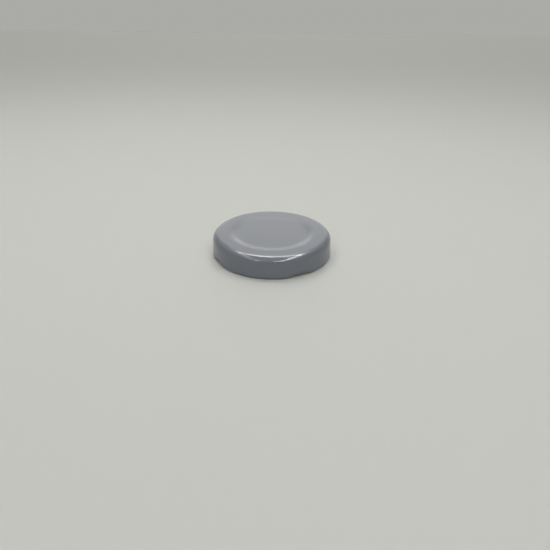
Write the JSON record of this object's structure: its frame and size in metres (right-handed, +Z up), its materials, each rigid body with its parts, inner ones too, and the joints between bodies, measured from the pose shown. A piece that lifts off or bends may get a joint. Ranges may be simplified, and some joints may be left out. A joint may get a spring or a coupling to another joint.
{
  "type": "twist off jar lid",
  "caption": "Round pressed tinplate lid with a recessed panel, rolled edge, lugs for a quarter-turn glass jar finish and a sealing ring inside.",
  "frame": {"origin": "centre of the rest plane that the rolled lower edge touches", "axes": "+Z up along the lid's axis through the centre panel; +X and +Y through the middles of two lugs"},
  "size_m": [0.056, 0.056, 0.0101],
  "materials": {
    "lacquered_tinplate": "gloss grey lacquer over tinplate, pale enamel inside",
    "sealing_compound": "satin, soft"
  },
  "bodies": {
    "root": {"lid_shell": "lacquered_tinplate", "sealing_ring": "sealing_compound"}
  },
  "joints": []
}
